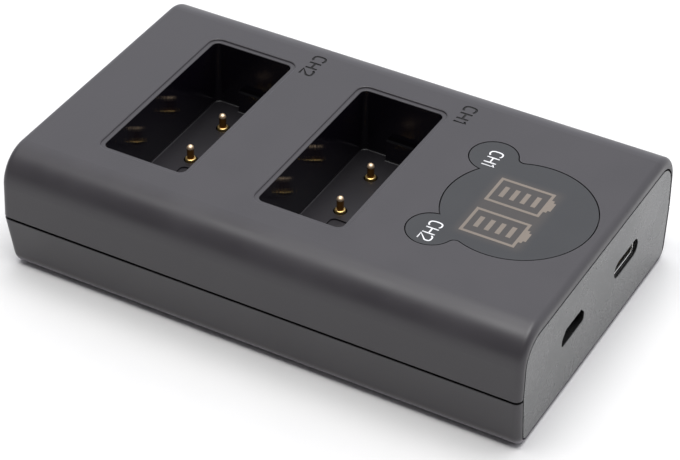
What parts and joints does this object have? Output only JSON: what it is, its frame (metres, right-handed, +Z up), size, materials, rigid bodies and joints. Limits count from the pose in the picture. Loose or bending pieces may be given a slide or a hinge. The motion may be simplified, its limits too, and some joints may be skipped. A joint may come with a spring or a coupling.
{
  "type": "camera battery charger",
  "caption": "Low black desktop charger with side-by-side camera battery bays with sprung pins, a smoked round display window and sockets in one end.",
  "frame": {"origin": "centre of the underside", "axes": "+X towards the end with the two sockets, +Z up through the battery bays"},
  "size_m": [0.099, 0.0606, 0.0234],
  "materials": {
    "case_black": "fine spark-eroded black ABS",
    "panel_grey": "satin dark grey ABS with a fine sparkle",
    "window_smoke": "smoked acrylic with a satin face",
    "light_box_white": "white reflector moulding",
    "tinned_pin": "tinned pin",
    "board_green": "green solder mask on glass laminate",
    "socket_black": "black socket moulding",
    "socket_steel": "drawn nickel-plated steel",
    "screw_steel": "black zinc steel",
    "chip_black": "moulded chip body",
    "ferrite_grey": "sintered ferrite",
    "can_aluminium": "drawn aluminium can",
    "contact_gold": "gold-plated brass",
    "spring_steel": "plated spring wire"
  },
  "bodies": {
    "case": {"upper_shell": "case_black", "lower_shell": "case_black", "end_panel": "panel_grey", "display_window": "window_smoke", "display_module": "light_box_white", "display_legs": "tinned_pin", "main_board": "board_green", "contact_board": "board_green", "header_body": "socket_black", "header_pins": "tinned_pin", "usb_c_shell": "socket_steel", "usb_c_tongue": "socket_black", "micro_usb_shell": "socket_steel", "micro_usb_tongue": "socket_black", "case_screws": "screw_steel", "charge_chips": "chip_black", "controller_chip": "chip_black", "power_inductors": "ferrite_grey", "filter_capacitors": "can_aluminium", "contact_barrel_1": "contact_gold", "contact_spring_1": "spring_steel", "contact_barrel_2": "contact_gold", "contact_spring_2": "spring_steel", "contact_barrel_3": "contact_gold", "contact_spring_3": "spring_steel", "contact_barrel_4": "contact_gold", "contact_spring_4": "spring_steel"},
    "plunger_1": {"contact_plunger_1": "contact_gold"},
    "plunger_2": {"contact_plunger_2": "contact_gold"},
    "plunger_3": {"contact_plunger_3": "contact_gold"},
    "plunger_4": {"contact_plunger_4": "contact_gold"}
  },
  "joints": [
    {"name": "contact_1_press", "type": "slide", "parent": "case", "child": "plunger_1", "axis": [0, 0, -1], "range_m": [0, 0.0016], "stiffness_N_per_m": 300, "springref_m": -0.001, "deforming": ["contact_spring_1"]},
    {"name": "contact_2_press", "type": "slide", "parent": "case", "child": "plunger_2", "axis": [0, 0, -1], "range_m": [0, 0.0016], "stiffness_N_per_m": 300, "springref_m": -0.001, "deforming": ["contact_spring_2"]},
    {"name": "contact_3_press", "type": "slide", "parent": "case", "child": "plunger_3", "axis": [0, 0, -1], "range_m": [0, 0.0016], "stiffness_N_per_m": 300, "springref_m": -0.001, "deforming": ["contact_spring_3"]},
    {"name": "contact_4_press", "type": "slide", "parent": "case", "child": "plunger_4", "axis": [0, 0, -1], "range_m": [0, 0.0016], "stiffness_N_per_m": 300, "springref_m": -0.001, "deforming": ["contact_spring_4"]}
  ]
}
